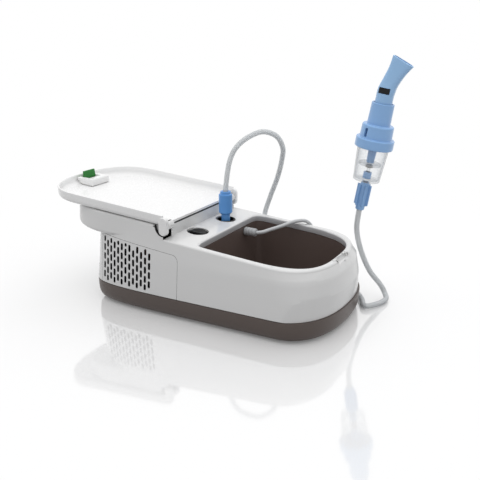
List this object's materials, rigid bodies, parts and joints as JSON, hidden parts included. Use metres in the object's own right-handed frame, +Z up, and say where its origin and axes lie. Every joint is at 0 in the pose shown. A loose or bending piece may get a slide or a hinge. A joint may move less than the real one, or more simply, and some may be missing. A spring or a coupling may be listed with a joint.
{
  "type": "tabletop compressor nebulizer",
  "caption": "Tabletop compressor nebulizer with fold-back lid, storage bay, side vents, air tube and hand set with mouthpiece.",
  "frame": {"origin": "centre of the overall bounding box's footprint, at floor level", "axes": "+X towards the storage bay end, +Y away from the switch side, +Z up"},
  "size_m": [0.3796, 0.1928, 0.2665],
  "materials": {
    "white_housing": "gloss",
    "taupe_base": "satin",
    "bay_brown": "satin",
    "black_plastic": "gloss",
    "green_latch": "satin",
    "plug_blue": "satin",
    "hand_set_blue": "satin",
    "mouthpiece_blue": "satin",
    "clear_cup": "polished",
    "tube_pvc": "translucent",
    "cord_grey": "satin",
    "rubber_black": "matte",
    "steel": "brushed",
    "cast_alu": "cast",
    "motor_winding": "lacquered",
    "baffle_grey": "satin"
  },
  "bodies": {
    "housing": {"base_tray": "taupe_base", "upper_housing": "white_housing", "storage_bay_tub": "bay_brown", "vent_panel_near": "white_housing", "vent_panel_far": "white_housing", "hinge_pin_near": "steel", "hinge_pin_far": "steel", "switch_bezel": "black_plastic", "outlet_socket": "black_plastic", "cord_boot": "cord_grey", "power_cord": "cord_grey", "compressor_bracket": "steel", "motor_stator": "motor_winding", "compressor_cylinder": "cast_alu", "cylinder_head": "cast_alu", "internal_air_hose": "rubber_black", "foot_1": "rubber_black", "base_screw_1": "steel", "rubber_mount_1": "rubber_black", "foot_2": "rubber_black", "base_screw_2": "steel", "rubber_mount_2": "rubber_black", "foot_3": "rubber_black", "base_screw_3": "steel", "rubber_mount_3": "rubber_black", "foot_4": "rubber_black", "base_screw_4": "steel", "rubber_mount_4": "rubber_black"},
    "lid": {"lid_shell": "white_housing", "latch_housing": "white_housing"},
    "latch": {"latch_button": "green_latch"},
    "rocker": {"rocker_switch": "black_plastic"},
    "tube_set": {"tube_plug": "plug_blue", "air_tube": "tube_pvc", "cup_connector": "hand_set_blue", "nebulizer_cup": "clear_cup", "jet_nozzle": "hand_set_blue", "baffle_ring": "baffle_grey"},
    "cap": {"nebulizer_cap": "hand_set_blue", "baffle_stem": "hand_set_blue"},
    "mouthpiece_body": {"mouthpiece": "mouthpiece_blue"},
    "valve": {"exhale_valve_flap": "black_plastic"},
    "rotor": {"motor_shaft": "steel", "cooling_fan": "black_plastic", "crank_disc": "steel"},
    "piston": {"piston_and_rod": "cast_alu"}
  },
  "joints": [
    {"name": "lid_hinge", "type": "hinge", "parent": "housing", "child": "lid", "pos_m": [-0.02116, -0.01444, 0.09745], "axis": [0, 1, 0], "range_deg": [0, 90]},
    {"name": "latch_slide", "type": "slide", "parent": "lid", "child": "latch", "axis": [1, 0, 0], "range_m": [0, 0.003]},
    {"name": "rocker_switch_tilt", "type": "hinge", "parent": "housing", "child": "rocker", "pos_m": [-0.00759, -0.04384, 0.08157], "axis": [0.9966, 0, -0.0827], "range_deg": [0, 12]},
    {"name": "plug_pull", "type": "slide", "parent": "housing", "child": "tube_set", "axis": [0, 0, 1], "range_m": [0, 0.02]},
    {"name": "cap_turn", "type": "hinge", "parent": "tube_set", "child": "cap", "pos_m": [0.1535, 0.04056, 0.16668], "axis": [0.1643, 0, 0.9864], "range_deg": [0, 30]},
    {"name": "mouthpiece_swivel", "type": "hinge", "parent": "cap", "child": "mouthpiece_body", "pos_m": [0.1609, 0.04056, 0.21107], "axis": [0.1643, 0, 0.9864], "continuous": true},
    {"name": "exhale_valve_hinge", "type": "hinge", "parent": "mouthpiece_body", "child": "valve", "pos_m": [0.16482, 0.03326, 0.23465], "axis": [0.9864, 0, -0.1643], "range_deg": [-35, 0]},
    {"name": "motor_spin", "type": "hinge", "parent": "housing", "child": "rotor", "pos_m": [-0.07766, -0.02044, 0.048], "axis": [1, 0, 0], "continuous": true},
    {"name": "piston_stroke", "type": "slide", "parent": "housing", "child": "piston", "axis": [0, 0, 1], "range_m": [-0.0025, 0.0035]}
  ]
}
